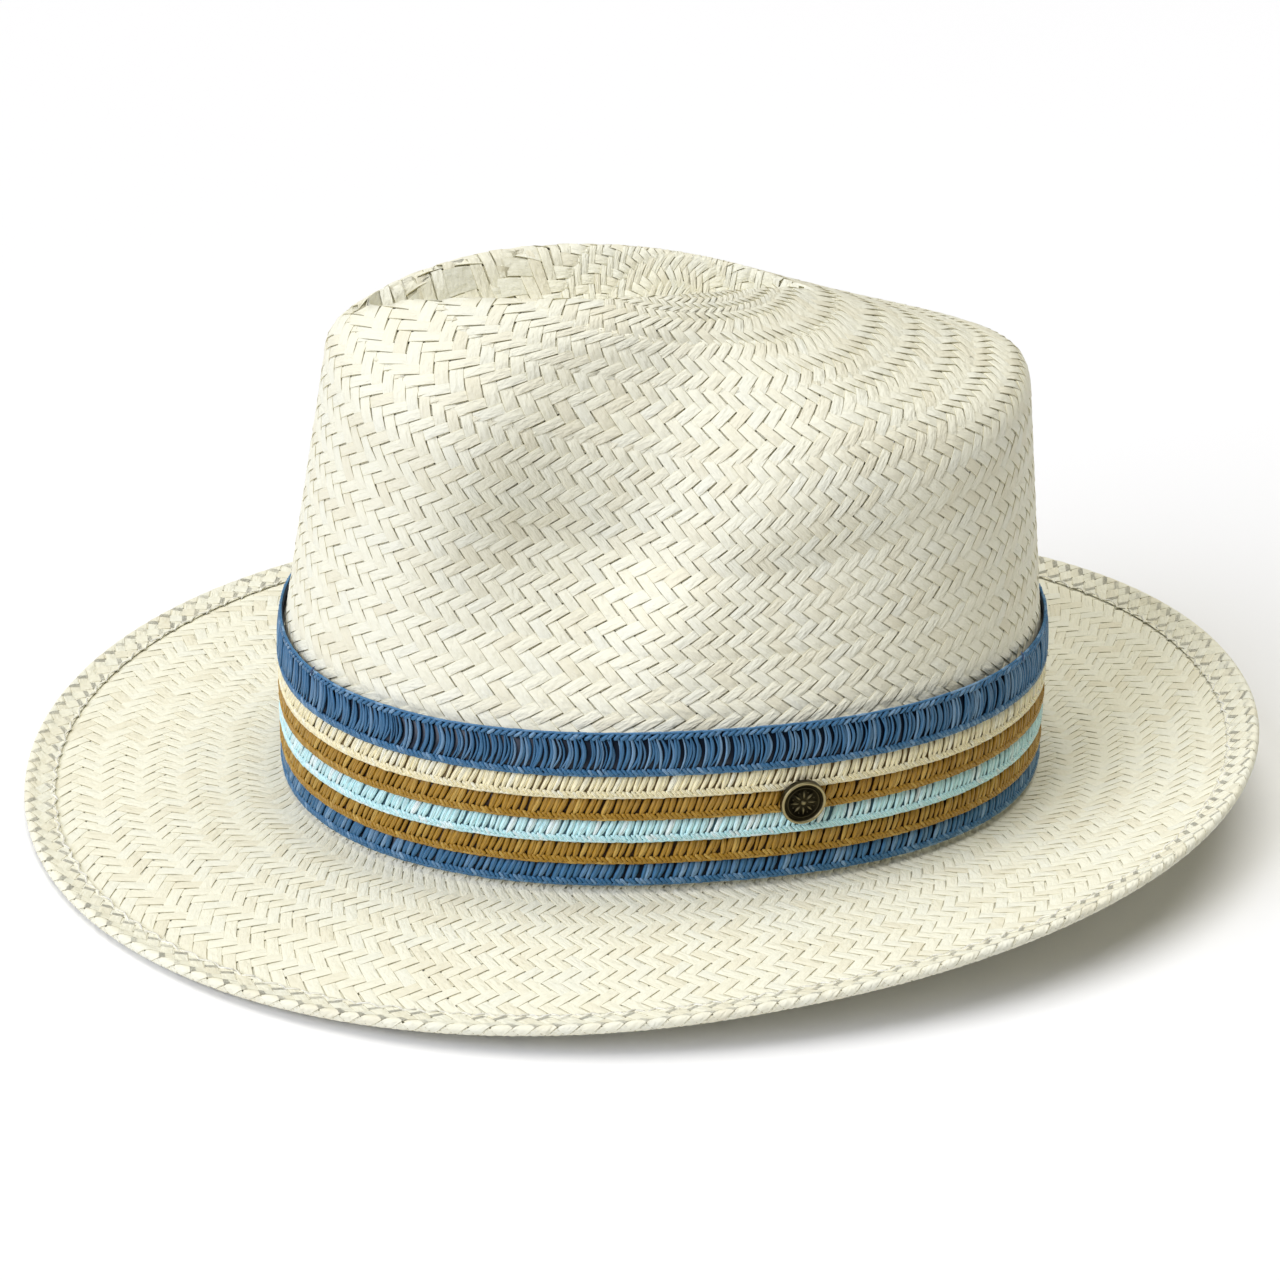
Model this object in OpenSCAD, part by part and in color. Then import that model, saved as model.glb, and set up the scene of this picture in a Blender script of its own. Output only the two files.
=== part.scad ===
// Fedora hat in woven paper straw: a one-piece straw body with a wired, folded hem,
// a hatband of six overlapping braided tapes with a riveted badge, and a sweatband inside.
// The front of the hat faces -Y and the wearer's left is +X. Angles run from the front (0)
// over the wearer's left (90) to the back (180).

/* [Head opening] */
// Length of the crown at the brim, front to back, outside the straw
crown_len = 201.4; // [196:0.2:208]
// Width of the crown at the brim, outside the straw
crown_wid = 168.2; // [164:0.2:174]
// Squareness of the oval (2 is an ellipse)
oval_power = 2.15; // [2:0.05:2.3]
// Thickness of the woven straw
straw_t = 1.2; // [1:0.1:1.5]

/* [Crown] */
// Height of the ridge above the brim, before the crease is pressed in
ridge_h = 139.7; // [132:0.5:146]
// Fall of the ridge 100 mm away from its highest point
ridge_fall = 46; // [38:0.5:52]
// How much flatter the ridge falls towards the back
ridge_skew = 20.6; // [15:0.5:25]
// Place of the highest point of the ridge along Y
ridge_y = -28.7; // [-35:0.5:-20]
// Fall of the roof from the ridge to the side of the crown
roof_fall = 38.9; // [34:0.5:42]
// Decrease of that fall per 100 mm towards the back
roof_fall_back = 23.5; // [18:0.5:26]
// Curvature of the roof across the hat (1 is a tent)
roof_power = 1.35; // [1.25:0.05:1.6]
// Height up to which the wall stands upright behind the hatband
upright_h = 38; // [32:1:40]
// Inward lean of the crown wall at the front, as a share of its radius
lean_front = 0.122; // [0.08:0.002:0.14]
// Inward lean at the back
lean_back = 0.061; // [0.04:0.002:0.1]
// Inward lean at the sides
lean_side = 0.231; // [0.2:0.002:0.25]
// Rounding of the upper edge at the front
edge_front = 7; // [6:0.5:12]
// Rounding of the upper edge at the back
edge_back = 6; // [6:0.5:12]
// Rounding of the upper edge at the sides
edge_side = 34; // [28:1:36]

/* [Crease and dents] */
// Depth of the teardrop crease
crease_depth = 24; // [16:1:28]
// Half width of the crease
crease_half_w = 21; // [18:0.5:24]
// Front end of the crease along Y
crease_front = -81; // [-82:0.5:-76]
// Back end of the crease along Y
crease_back = 35; // [30:1:45]
// Depth of the finger dent on each side
dent_depth = 15; // [8:1:18]

/* [Brim] */
// Average width of the brim
brim_w = 65.5; // [60:0.5:70]
// Extra width at the front, and less at the back
brim_w_front = 5.4; // [3:0.2:7]
// Extra width at both ends, and less at the sides
brim_w_ends = 2.2; // [0:0.2:3]
// Downward snap at the front and upward turn at the back
brim_snap = 9; // [5:0.5:12]
// Lift of both ends against the sides
brim_end_lift = 2; // [0:0.5:4]
// Hand-shaped twist of the brim edge
brim_twist = 2.8; // [0:0.1:3]
// Rise of the brim root at the sides of the head
root_rise = 1.6; // [0:0.1:3]

/* [Hem] */
// Width of the folded hem
hem_w = 8.6; // [7:0.1:10]
// Radius of the spring wire in the hem
wire_r = 0.5; // [0.4:0.05:0.6]

/* [Hatband] */
// Height of the wide blue tape at the top of the hatband
wide_tape_h = 11.9; // [10:0.1:12.5]
// Height of each of the five narrow tapes
tape_h = 6.08; // [5.5:0.02:6.2]
// Thickness of a tape
tape_t = 1; // [0.8:0.05:1.1]

/* [Badge] */
// Radius of the badge
badge_r = 5.75; // [5:0.05:6.2]
// Thickness of the badge at its rim
badge_t = 2.2; // [1.6:0.1:2.6]
// Radius of the badge's post
post_r = 0.8; // [0.6:0.05:1]
// Angle at which the badge sits
badge_at = 104.8; // [95:0.2:115]

/* [Sweatband] */
// Height of the sweatband
sweatband_h = 31; // [28:0.5:33]
// Thickness of the sweatband
sweatband_t = 0.9; // [0.7:0.1:1]
// Gap between the sweatband's top and the straw
sweatband_lean = 4; // [3.6:0.1:4.5]

/* [Hidden] */
steps = 64;                 // straight pieces round the hat
turn = 360 / steps;
semi_x = crown_wid / 2;
semi_y = crown_len / 2;
root_drop = 2.2;            // brim root below the hatband's lower edge
root_tilt = 0.9;            // how much lower the root lies at the front than at the back, halved
root_fillet = 3;
edge_level = 0.2;           // the brim's edge: its mean height and its smaller waves
edge_wave = 1.2;
edge_lean = 1.2;
brim_trim = 2.5;            // taken off the brim's width by the folded hem
brim_curl = 1.6;            // how late the brim leaves the plane of its root
crease_wall = 1.3;          // how softly the crease's walls meet the roof
upper_shape = 60;           // below this height the crease doesn't reach
root_reach = 110;           // height at which the root's rise has faded out
dent_low = 36;              // height at which a dent starts
dent_rise = 46;             // further height over which it comes to its full depth
dent_mid = [-32, 16];       // the dent's middle along Y low down, and its shift back higher up
dent_front = 34;            // the dent's reach to the front
dent_back = [16, 20];       // its reach to the back low down, and how much wider it is higher up
dent_edge = 34;             // width over which the dent fades in beside the crease
eye_r = wire_r + 0.15;      // inside of the hem's round edge
hem_gap = 0.2;              // between the hem's flap and the brim
hem_t = 1;                  // thickness of the flap
tuck = 1.2;                 // how far a tape reaches up behind the one above it
tape_back = 0.15;           // a tape's top edge, out from the straw
tape_proud = 1.25;          // a tape's lower edge, out from the straw
tape_thin = 0.6;            // thickness of a tape's tucked top edge
tape_lip = 0.3;             // rounding of a tape's lower edge
tab_from = -102;            // angles of the tab over the tapes' joint
tab_to = -94;
tab_gap = 0.1;
tab_t = 0.9;
tab_trim = 0.4;             // bare tape below the tab
thread_r = 0.3;
tack_h = 2.6;               // length of a tack
tack_up = 1;                // how far a tack reaches above the hatband
hem_thread_w = 0.8;         // width and thickness of the hem's row of stitches
hem_thread_t = 0.4;
hem_thread_up = 0.25;
reed_r = 0.8;
reed_gap = 0.05;
badge_off = 2.6;            // back of the badge, out from the straw
badge_up = 21.7;            // centre of the badge above the hatband's lower edge
post_fit = 0.08;            // running clearance of the post in the straw and the tape
clutch_gap = 0.3;           // between the clutch and the straw
clutch_t = 1.2;
post_tip = 0.5;             // how far the post stands out of the clutch
clutch_r = 4.2;
badge_rim = 0.9;            // the badge's face: its rim, the recess in it, its boss and its beads
badge_recess = 0.7;
badge_sink = 0.2;
boss_r = 1.5;
boss_h = 0.7;
bead_count = 8;
bead_ring = 3.2;
bead_r = 0.7;
bead_h = 0.55;
sweatband_foot = 0.5;       // gap between the sweatband's foot and the straw
sweat_foot_z = 1.2;         // height of the sweatband's foot above the brim's root
sweat_top = 1;              // how much higher its top stands than its height
sweat_seam_up = 2;          // the sweatband's row of stitches
sweat_seam_h = 0.8;
sweat_seam_t = 0.35;
sweat_seam_in = 0.15;
bow_z = 7;                  // height of the bow's middle
bow_gap = 0.5;
bow_loop = [[0.8, 0.9], [7, 2.8], [8.2, 1.4], [8.2, -1.4], [7, -2.8], [0.8, -0.9]];
bow_t = 0.9;
knot = [2.4, 2.6];
knot_t = 1.5;
tag_from = 168;             // angles and heights of the size tag
tag_to = 178;
tag_low = 16;
tag_high = 44;
tag_gap = 1.4;
tag_t = 0.3;
round_fn = 48;              // sides of the badge and its clutch
small_fn = 24;              // sides of posts, beads and tacks
crease_mid = (crease_front + crease_back) / 2;
wide_top = 5 * tape_h + wide_tape_h;

function blend3(t, front, back, side) =
    front * pow(max(cos(t), 0), 2) + back * pow(max(-cos(t), 0), 2) + side * pow(sin(t), 2);
function smooth(v) = let (c = min(max(v, 0), 1)) c * c * (3 - 2 * c);

// The oval of the head, its radius and its outward direction at an angle
function oval_r(t) = 1 / pow(pow(abs(sin(t)) / semi_x, oval_power)
    + pow(abs(cos(t)) / semi_y, oval_power), 1 / oval_power);
function out_x(t) = sign(sin(t)) * pow(abs(sin(t)), oval_power - 1) / pow(semi_x, oval_power);
function out_y(t) = -sign(cos(t)) * pow(abs(cos(t)), oval_power - 1) / pow(semi_y, oval_power);
function outward(t) = let (x = out_x(t), y = out_y(t), n = norm([x, y])) [x / n, y / n];

// A point a distance out from the oval, at a height
function at(t, out, z) = let (r = oval_r(t), n = outward(t))
    [r * sin(t) + out * n.x, -r * cos(t) + out * n.y, z];

// Heights of the brim's root and edge, and the brim's width
function root_z(t) = -root_rise * cos(2 * t) - root_tilt * cos(t);
function edge_z(t) = edge_level - brim_snap * cos(t) + brim_end_lift * cos(2 * t)
    - edge_wave * cos(3 * t) - brim_twist * sin(2 * t) + edge_lean * sin(t);
function brim_width(t) = brim_w - brim_trim + brim_w_front * cos(t) + brim_w_ends * cos(2 * t);
function brim_z(t, out) = let (z0 = root_z(t) - root_drop)
    z0 + (edge_z(t) - z0) * pow(min(out / brim_width(t), 1), brim_curl);

// The roof of the crown, the crease pressed into it and the dents in its sides
function roof_z(x, y) = let (u = (y - ridge_y) / 100)
    ridge_h - ridge_fall * u * u + ridge_skew * u * u * u
    - (roof_fall - roof_fall_back * y / 100) * pow(abs(x) / 84, roof_power);
function crease_lens(y) = let (m = min(max((y - crease_front) / (crease_back - crease_front), 0), 1))
    4 * m * (1 - m);
function crease_w(y) = crease_half_w * pow(max(crease_lens(y), 0.0001), 1.13);
function crease_z(x, y) = crease_depth * sqrt(crease_lens(y))
    * pow(max(1 - pow(x / crease_w(y), 2), 0), crease_wall);
function dent_in(x, y, z) = let (
        up = min(max((z - upper_shape) / 50, 0), 1),
        mid = dent_mid[0] + dent_mid[1] * up,
        v = y < mid ? (mid - y) / dent_front : (y - mid) / (dent_back[0] + dent_back[1] * up))
    dent_depth * exp(-pow(v, 2.4)) * smooth((z - dent_low) / dent_rise)
    * smooth((abs(x) - crease_w(y)) / dent_edge);

// One shaped point of the crown, from its place before the hat was creased
function shaped(x, y, z, t) = let (
        low = z - (z > upper_shape ? crease_z(x, y) : 0) + root_z(t) * (1 - min(z / root_reach, 1)))
    [x - sign(x) * dent_in(x, y, z), y, low];
function creased(t, r, z) = shaped(r * sin(t), -r * cos(t), z, t);

// The line along the crease's rim
function crease_rim(t) = [sign(sin(t)) * crease_half_w * pow(abs(sin(t)), 2.26),
    crease_mid - cos(t) * (crease_back - crease_front) / 2];
function on_roof(p, t, inset) = shaped(p.x, p.y, roof_z(p.x, p.y) - inset, t);

// The crown from its middle down to the brim's root, one skin a distance inside the other
function crown_line(t, inset) = let (
        r0 = oval_r(t) - inset,
        r1 = oval_r(t) * (1 - blend3(t, lean_front, lean_back, lean_side)) - inset,
        edge = blend3(t, edge_front, edge_back, edge_side),
        z1 = roof_z(r1 * sin(t), -r1 * cos(t)) - inset,
        z_wall = z1 - edge,
        r2 = r1 - edge,
        z2 = roof_z(r2 * sin(t), -r2 * cos(t)) - inset,
        foot = root_fillet - root_drop)
    concat(
        [for (f = [0.25, 0.5, 0.75, 1]) on_roof([0, crease_mid] * (1 - f) + crease_rim(t) * f, t, inset)],
        [for (f = [0.25, 0.5, 0.75])
            on_roof(crease_rim(t) * (1 - f) + [r2 * sin(t), -r2 * cos(t)] * f, t, inset)],
        [for (f = [0, 0.35, 0.7, 1]) let (g = 1 - f)
            creased(t, r2 * g * g + r1 * (1 - g * g), z2 * g * g + z1 * 2 * f * g + z_wall * f * f)],
        [for (f = [0.2, 0.45, 0.7]) creased(t, r1 + (r0 - r1) * f, z_wall + (upright_h - z_wall) * f)],
        [for (z = [upright_h, upright_h / 2, foot]) creased(t, r0, z)]);

// The brim from its root to the hem, round the edge, and back underneath
function brim_line(t) = let (
        w = brim_width(t),
        mid = w - eye_r - straw_t,
        z_mid = brim_z(t, mid) + eye_r,
        flap_end = w - hem_w,
        over = eye_r + straw_t)
    concat(
        [for (a = [30, 60]) at(t, root_fillet * (1 - cos(a)),
            brim_z(t, 0) + root_fillet * (1 - sin(a)))],
        [for (f = [0, 0.2, 0.42, 0.64, 0.84]) let (d = root_fillet + (flap_end - root_fillet) * f)
            at(t, d, brim_z(t, d))],
        [at(t, flap_end + 0.2, brim_z(t, flap_end + 0.2))],
        [for (a = [-90, -30, 30, 90]) at(t, mid + eye_r * cos(a), z_mid + eye_r * sin(a))],
        [at(t, mid - 2, brim_z(t, mid - 2) + hem_gap + 0.2)],
        [at(t, flap_end, brim_z(t, flap_end) + hem_gap)],
        [at(t, flap_end, brim_z(t, flap_end) + hem_gap + hem_t)],
        [at(t, mid - 2, brim_z(t, mid - 2) + hem_gap + hem_t + 0.3)],
        [for (a = [90, 45, 0, -45, -90]) at(t, mid + over * cos(a), z_mid + over * sin(a))],
        [for (f = [0.86, 0.66, 0.45, 0.22, 0]) let (d = root_fillet + (mid - root_fillet) * f)
            at(t, d, brim_z(t, d) - straw_t)],
        [for (a = [60, 30]) at(t, root_fillet - (root_fillet + straw_t) * cos(a),
            brim_z(t, 0) + root_fillet - (root_fillet + straw_t) * sin(a))]);

function reversed(list) = [for (i = [len(list) - 1 : -1 : 0]) list[i]];
function flat(lists) = [for (l = lists) for (p = l) p];

// The whole model stands on its lowest point, centred over it
centre_y = (brim_width(0) - brim_width(180)) / 2;
base_lift = straw_t - min([for (i = [0 : steps - 1]) edge_z(i * turn)]);
module placed() translate([0, centre_y, base_lift]) children();

// Joins a row of closed sections, one at each angle round the hat, into one ring
module ring(sections) {
    n = len(sections[0]);
    m = len(sections);
    polyhedron(
        points = flat(sections),
        faces = [for (i = [0 : m - 1]) for (j = [0 : n - 1]) for (half = [0, 1])
            let (a = i * n + j, b = i * n + (j + 1) % n,
                c = ((i + 1) % m) * n + (j + 1) % n, d = ((i + 1) % m) * n + j)
            half == 0 ? [a, b, c] : [a, c, d]]);
}

// A short curved strip of the same kind, closed at both ends
module strip(sections) {
    n = len(sections[0]);
    m = len(sections);
    polyhedron(
        points = flat(sections),
        faces = concat(
            [for (i = [0 : m - 2]) for (j = [0 : n - 1]) for (half = [0, 1])
                let (a = i * n + j, b = i * n + (j + 1) % n,
                    c = (i + 1) * n + (j + 1) % n, d = (i + 1) * n + j)
                half == 0 ? [a, b, c] : [a, c, d]],
            [[for (j = [n - 1 : -1 : 0]) j], [for (j = [0 : n - 1]) (m - 1) * n + j]]));
}

// A round wire or thread at a distance out from the oval
function wire_section(t, out, z, r, sides) =
    [for (j = [0 : sides - 1]) let (a = -j * 360 / sides) at(t, out + r * cos(a), z + r * sin(a))];

// The section of a tape: tucked in at its top edge and proud at its lower edge
function tape_section(t, top, bottom, up) = let (z = root_z(t))
    [at(t, tape_back, z + top + up), at(t, tape_back + tape_thin, z + top + up),
        at(t, tape_back + tape_t, z + top - (up > 0 ? 0 : tuck)),
        at(t, tape_proud + tape_t, z + bottom + tape_lip),
        at(t, tape_proud + tape_t - tape_lip, z + bottom),
        at(t, tape_proud, z + bottom)];

module tape(top, height, up)
    placed() ring([for (i = [0 : steps - 1]) tape_section(i * turn, top, top - height, up)]);

module facing(t, out, z) {
    p = at(t, out, z);
    n = outward(t);
    translate(p) rotate([0, 90, atan2(n.y, n.x)]) children();
}

module straw_body() {
    lines = [for (i = [0 : steps - 1]) let (t = i * turn)
        concat(crown_line(t, 0), brim_line(t), reversed(crown_line(t, straw_t)))];
    n = len(lines[0]);
    outer_pole = steps * n;
    inner_pole = outer_pole + 1;
    color("ivory") placed() difference() {
        polyhedron(
            points = concat(flat(lines), [
                on_roof([0, crease_mid], 0, 0),
                on_roof([0, crease_mid], 0, straw_t)]),
            faces = concat(
                [for (i = [0 : steps - 1]) for (j = [0 : n - 2]) for (half = [0, 1])
                    let (k = (i + 1) % steps, a = i * n + j, b = a + 1, c = k * n + j + 1, d = k * n + j)
                    half == 0 ? [a, b, c] : [a, c, d]],
                [for (i = [0 : steps - 1]) [outer_pole, i * n, ((i + 1) % steps) * n]],
                [for (i = [0 : steps - 1])
                    [inner_pole, ((i + 1) % steps) * n + n - 1, i * n + n - 1]]));
        post_hole();
    }
}

// The badge's post runs through the straw and the upper ochre tape
badge_z = badge_up + root_z(badge_at);
clutch_in = -straw_t - clutch_gap - clutch_t;
module post_hole() facing(badge_at, clutch_in, badge_z)
    cylinder(r = post_r + post_fit, h = badge_off - clutch_in, $fn = small_fn);

module brim_wire() color("silver") placed()
    ring([for (i = [0 : steps - 1]) let (t = i * turn, d = brim_width(t) - eye_r - straw_t)
        wire_section(t, d, brim_z(t, d) + eye_r, wire_r, 6)]);

module hem_thread() color("ivory") placed()
    ring([for (i = [0 : steps - 1])
        let (t = i * turn, d = brim_width(t) - hem_w + 1, half = hem_thread_w / 2,
            z = brim_z(t, d) + hem_gap + hem_t + hem_thread_up, top = z + hem_thread_t)
        [at(t, d - half, z), at(t, d - half, top), at(t, d + half, top), at(t, d + half, z)]]);

module band_blue_top() color("steelblue") tape(wide_top, wide_tape_h, 0);
module band_cream() color("wheat") tape(5 * tape_h, tape_h, tuck);
module band_ochre_upper() color("peru") difference() {
    tape(4 * tape_h, tape_h, tuck);
    placed() post_hole();
}
module band_aqua() color("lightblue") tape(3 * tape_h, tape_h, tuck);
module band_ochre_lower() color("peru") tape(2 * tape_h, tape_h, tuck);
module band_blue_bottom() color("steelblue") tape(tape_h, tape_h, tuck);

// A braided tab over the joint of the tapes, on the wearer's right behind the middle
module band_join_tab() color("steelblue") placed()
    strip([for (t = [tab_from : 2 : tab_to])
        let (z = root_z(t), d = tape_proud + tape_t + tab_gap, face = d + tab_t, foot = z + tab_trim)
        [at(t, d, z + wide_top), at(t, face, z + wide_top), at(t, face, foot), at(t, d, foot)]]);

// Thread tacks that hold the hatband's top edge to the straw
module band_tacks() color("navy") placed()
    for (t = [20, 150, 210, 330])
        translate(at(t, tape_back + tape_t + thread_r + 0.05, root_z(t) + wide_top + tack_up - tack_h))
            cylinder(r = thread_r, h = tack_h, $fn = small_fn);

// A domed stud with a raised rim, a ring of beads and a plain boss
module badge_disc() color("darkkhaki") placed() facing(badge_at, badge_off, badge_z) {
    difference() {
        cylinder(r = badge_r, h = badge_t, $fn = round_fn);
        translate([0, 0, badge_t - badge_recess]) cylinder(r = badge_r - badge_rim, h = 1, $fn = round_fn);
    }
    translate([0, 0, badge_t - badge_recess - badge_sink]) {
        cylinder(r = boss_r, h = boss_h, $fn = small_fn);
        for (k = [0 : bead_count - 1])
            rotate(k * 360 / bead_count) translate([bead_ring, 0, 0])
                cylinder(r = bead_r, h = bead_h, $fn = small_fn);
    }
}

module badge_post() color("darkkhaki") placed()
    facing(badge_at, clutch_in - post_tip, badge_z)
        cylinder(r = post_r, h = badge_off - clutch_in + post_tip, $fn = small_fn);

module badge_clutch() color("darkkhaki") placed()
    facing(badge_at, clutch_in, badge_z) difference() {
        cylinder(r = clutch_r, h = clutch_t, $fn = round_fn);
        translate([0, 0, -1]) cylinder(r = post_r, h = clutch_t + 2, $fn = small_fn);
    }

// The sweatband leans in from its sewn foot to its free top
function sweat_out(z) = -straw_t - sweatband_foot - (sweatband_lean - sweatband_foot) * z / sweatband_h;
function sweat_face(t, z) = sweat_out(z - root_z(t)) - sweatband_t;

module sweatband() color("whitesmoke") placed()
    ring([for (i = [0 : steps - 1])
        let (t = i * turn, z0 = root_z(t) + sweat_foot_z, z1 = sweatband_h + sweat_top)
        [at(t, sweat_out(0) - sweatband_t, z0), at(t, sweat_out(z1) - sweatband_t, z1),
            at(t, sweat_out(z1), z1), at(t, sweat_out(0), z0)]]);

module sweatband_reed() color("white") placed()
    ring([for (i = [0 : steps - 1]) let (t = i * turn)
        wire_section(t, sweat_out(0) - reed_r, root_z(t) + sweat_foot_z - reed_r - reed_gap, reed_r, 8)]);

module sweatband_thread() color("white") placed()
    ring([for (i = [0 : steps - 1])
        let (t = i * turn, z = root_z(t) + sweat_foot_z + sweat_seam_up, top = z + sweat_seam_h,
            d = sweat_face(t, z) - sweat_seam_in, face = d - sweat_seam_t)
        [at(t, d, z), at(t, face, z), at(t, face, top), at(t, d, top)]]);

// A small ribbon bow at the back, flat against the sweatband
module sweatband_bow() color("white") placed()
    translate([0, semi_y + sweat_face(180, bow_z) - bow_gap, bow_z]) rotate([90, 0, 0]) {
        for (side = [0, 1])
            mirror([side, 0, 0]) linear_extrude(bow_t) polygon(bow_loop);
        linear_extrude(knot_t) square(knot, center = true);
    }

// A blank tag between the sweatband and the straw, standing up behind the back
module size_label() color("white") placed()
    strip([for (t = [tag_from : 2 : tag_to]) let (d = -straw_t - tag_gap, inner = d - tag_t)
        [at(t, inner, tag_high), at(t, d, tag_high), at(t, d, tag_low), at(t, inner, tag_low)]]);

straw_body();
brim_wire();
hem_thread();
band_blue_top();
band_cream();
band_ochre_upper();
band_aqua();
band_ochre_lower();
band_blue_bottom();
band_join_tab();
band_tacks();
badge_disc();
badge_post();
badge_clutch();
sweatband();
sweatband_reed();
sweatband_thread();
sweatband_bow();
size_label();
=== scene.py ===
"""Looks of the straw fedora: woven straw, braided hatband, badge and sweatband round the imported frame.

Lengths are in millimetres until a mesh is made, and the names match those of the CAD source. Angles run
from the front of the hat (0) over the wearer's left (90 degrees) to the back (180). A row is one crossing of
the weave.
"""

import math
import bpy
import numpy as np
from mathutils import Matrix, Vector


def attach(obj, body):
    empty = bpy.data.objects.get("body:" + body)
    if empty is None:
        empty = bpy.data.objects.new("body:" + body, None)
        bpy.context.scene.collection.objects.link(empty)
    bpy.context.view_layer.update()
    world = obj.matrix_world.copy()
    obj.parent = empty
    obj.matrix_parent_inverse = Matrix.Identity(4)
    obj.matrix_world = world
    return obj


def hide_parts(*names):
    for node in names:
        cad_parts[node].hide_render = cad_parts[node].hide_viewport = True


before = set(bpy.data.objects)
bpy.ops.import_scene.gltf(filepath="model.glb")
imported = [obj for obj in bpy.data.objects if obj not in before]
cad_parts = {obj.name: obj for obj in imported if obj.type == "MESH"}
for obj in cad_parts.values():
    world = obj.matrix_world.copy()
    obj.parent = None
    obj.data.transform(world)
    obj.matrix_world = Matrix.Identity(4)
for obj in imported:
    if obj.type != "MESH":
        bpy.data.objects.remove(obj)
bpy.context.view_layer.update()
MM = 0.001
rng = np.random.default_rng(11)

# ---------------------------------------------------------------- shape of the hat, as in the CAD source
CROWN_LEN, CROWN_WID, OVAL_POWER, STRAW_T = 201.4, 168.2, 2.15, 1.2
RIDGE_H, RIDGE_FALL, RIDGE_SKEW, RIDGE_Y = 139.7, 46.0, 20.6, -28.7
ROOF_FALL, ROOF_FALL_BACK, ROOF_POWER, UPRIGHT_H = 38.9, 23.5, 1.35, 38.0
LEAN = (0.122, 0.061, 0.231)        # front, back, side
EDGE = (7.0, 6.0, 34.0)
CREASE_DEPTH, CREASE_HALF_W, CREASE_FRONT, CREASE_BACK = 24.0, 21.0, -81.0, 35.0
CREASE_WALL, UPPER_SHAPE = 1.3, 60   # the crease and the dents start above this height
DENT_DEPTH, DENT_LOW, DENT_RISE, DENT_EDGE = 15.0, 36.0, 46, 34
DENT_MID, DENT_FRONT, DENT_BACK = (-32, 16), 34, (16, 20)
BRIM_W, BRIM_W_FRONT, BRIM_W_ENDS, BRIM_TRIM = 65.5, 5.4, 2.2, 2.5
BRIM_SNAP, BRIM_END_LIFT, BRIM_TWIST, BRIM_CURL = 9.0, 2.0, 2.8, 1.6
EDGE_LEVEL, EDGE_WAVE, EDGE_LEAN = 0.2, 1.2, 1.2
ROOT_RISE, ROOT_TILT, ROOT_DROP, ROOT_FILLET = 1.6, 0.9, 2.2, 3.0
HEM_W, HEM_GAP, HEM_T, EYE_R = 8.6, 0.2, 1.0, 0.65
WIDE_TAPE_H, TAPE_H, TAPE_T, TUCK = 11.9, 6.08, 1.0, 1.2
TAPE_BACK, TAPE_PROUD = 0.15, 1.25
BADGE_R, BADGE_T, BADGE_AT, BADGE_OFF, BADGE_UP = 5.75, 2.2, 104.8, 2.6, 21.7
SWEATBAND_H, SWEATBAND_T, SWEATBAND_LEAN, SWEATBAND_FOOT = 31.0, 0.9, 4.0, 0.5
SWEAT_FOOT_Z, SWEAT_TOP, BOW_Z = 1.2, 1, 7
TAG_FROM, TAG_TO, TAG_LOW, TAG_HIGH = 168, 178, 16, 44
SEMI_X, SEMI_Y = CROWN_WID / 2, CROWN_LEN / 2
FOOT = ROOT_FILLET - ROOT_DROP
FULL_TURN = 2 * math.pi


def blend3(t, three):
    """A value that turns smoothly from its front over its side to its back."""
    front, back, side = three
    c = np.cos(t)
    return front * np.maximum(c, 0) ** 2 + back * np.maximum(-c, 0) ** 2 + side * np.sin(t) ** 2


def smooth(v):
    c = np.clip(v, 0, 1)
    return c * c * (3 - 2 * c)


def oval_r(t):
    """Distance from the middle to the crown's oval foot."""
    x = np.abs(np.sin(t)) / SEMI_X
    y = np.abs(np.cos(t)) / SEMI_Y
    return (x ** OVAL_POWER + y ** OVAL_POWER) ** (-1 / OVAL_POWER)


def outward(t):
    """The oval's outward direction."""
    x = np.sign(np.sin(t)) * np.abs(np.sin(t)) ** (OVAL_POWER - 1) / SEMI_X ** OVAL_POWER
    y = -np.sign(np.cos(t)) * np.abs(np.cos(t)) ** (OVAL_POWER - 1) / SEMI_Y ** OVAL_POWER
    n = np.hypot(x, y)
    return x / n, y / n


def at(t, out, z):
    """A point a distance out from the oval, at a height above the hatband's lower edge."""
    r = oval_r(t)
    nx, ny = outward(t)
    x, y, z = np.broadcast_arrays(r * np.sin(t) + out * nx, -r * np.cos(t) + out * ny, z)
    return np.stack([x, y, z], axis=-1)


def root_z(t):
    return -ROOT_RISE * np.cos(2 * t) - ROOT_TILT * np.cos(t)


def edge_z(t):
    return (EDGE_LEVEL - BRIM_SNAP * np.cos(t) + BRIM_END_LIFT * np.cos(2 * t) - EDGE_WAVE * np.cos(3 * t)
            - BRIM_TWIST * np.sin(2 * t) + EDGE_LEAN * np.sin(t))


def brim_width(t):
    return BRIM_W + BRIM_W_FRONT * np.cos(t) + BRIM_W_ENDS * np.cos(2 * t) - BRIM_TRIM


def brim_z(t, out):
    z0 = root_z(t) - ROOT_DROP
    return z0 + (edge_z(t) - z0) * np.clip(out / brim_width(t), 0, 1) ** BRIM_CURL


def roof_z(x, y):
    u = (y - RIDGE_Y) / 100
    side = (ROOF_FALL - ROOF_FALL_BACK * y / 100) * (np.abs(x) / 84) ** ROOF_POWER
    return RIDGE_H - RIDGE_FALL * u * u + RIDGE_SKEW * u ** 3 - side


def crease_lens(y):
    m = np.clip((y - CREASE_FRONT) / (CREASE_BACK - CREASE_FRONT), 0, 1)
    return 4 * m * (1 - m)


def crease_w(y):
    return CREASE_HALF_W * np.maximum(crease_lens(y), 0.0001) ** 1.13


def crease_z(x, y):
    inside = np.maximum(1 - (x / crease_w(y)) ** 2, 0)
    return CREASE_DEPTH * np.sqrt(crease_lens(y)) * inside ** CREASE_WALL


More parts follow.
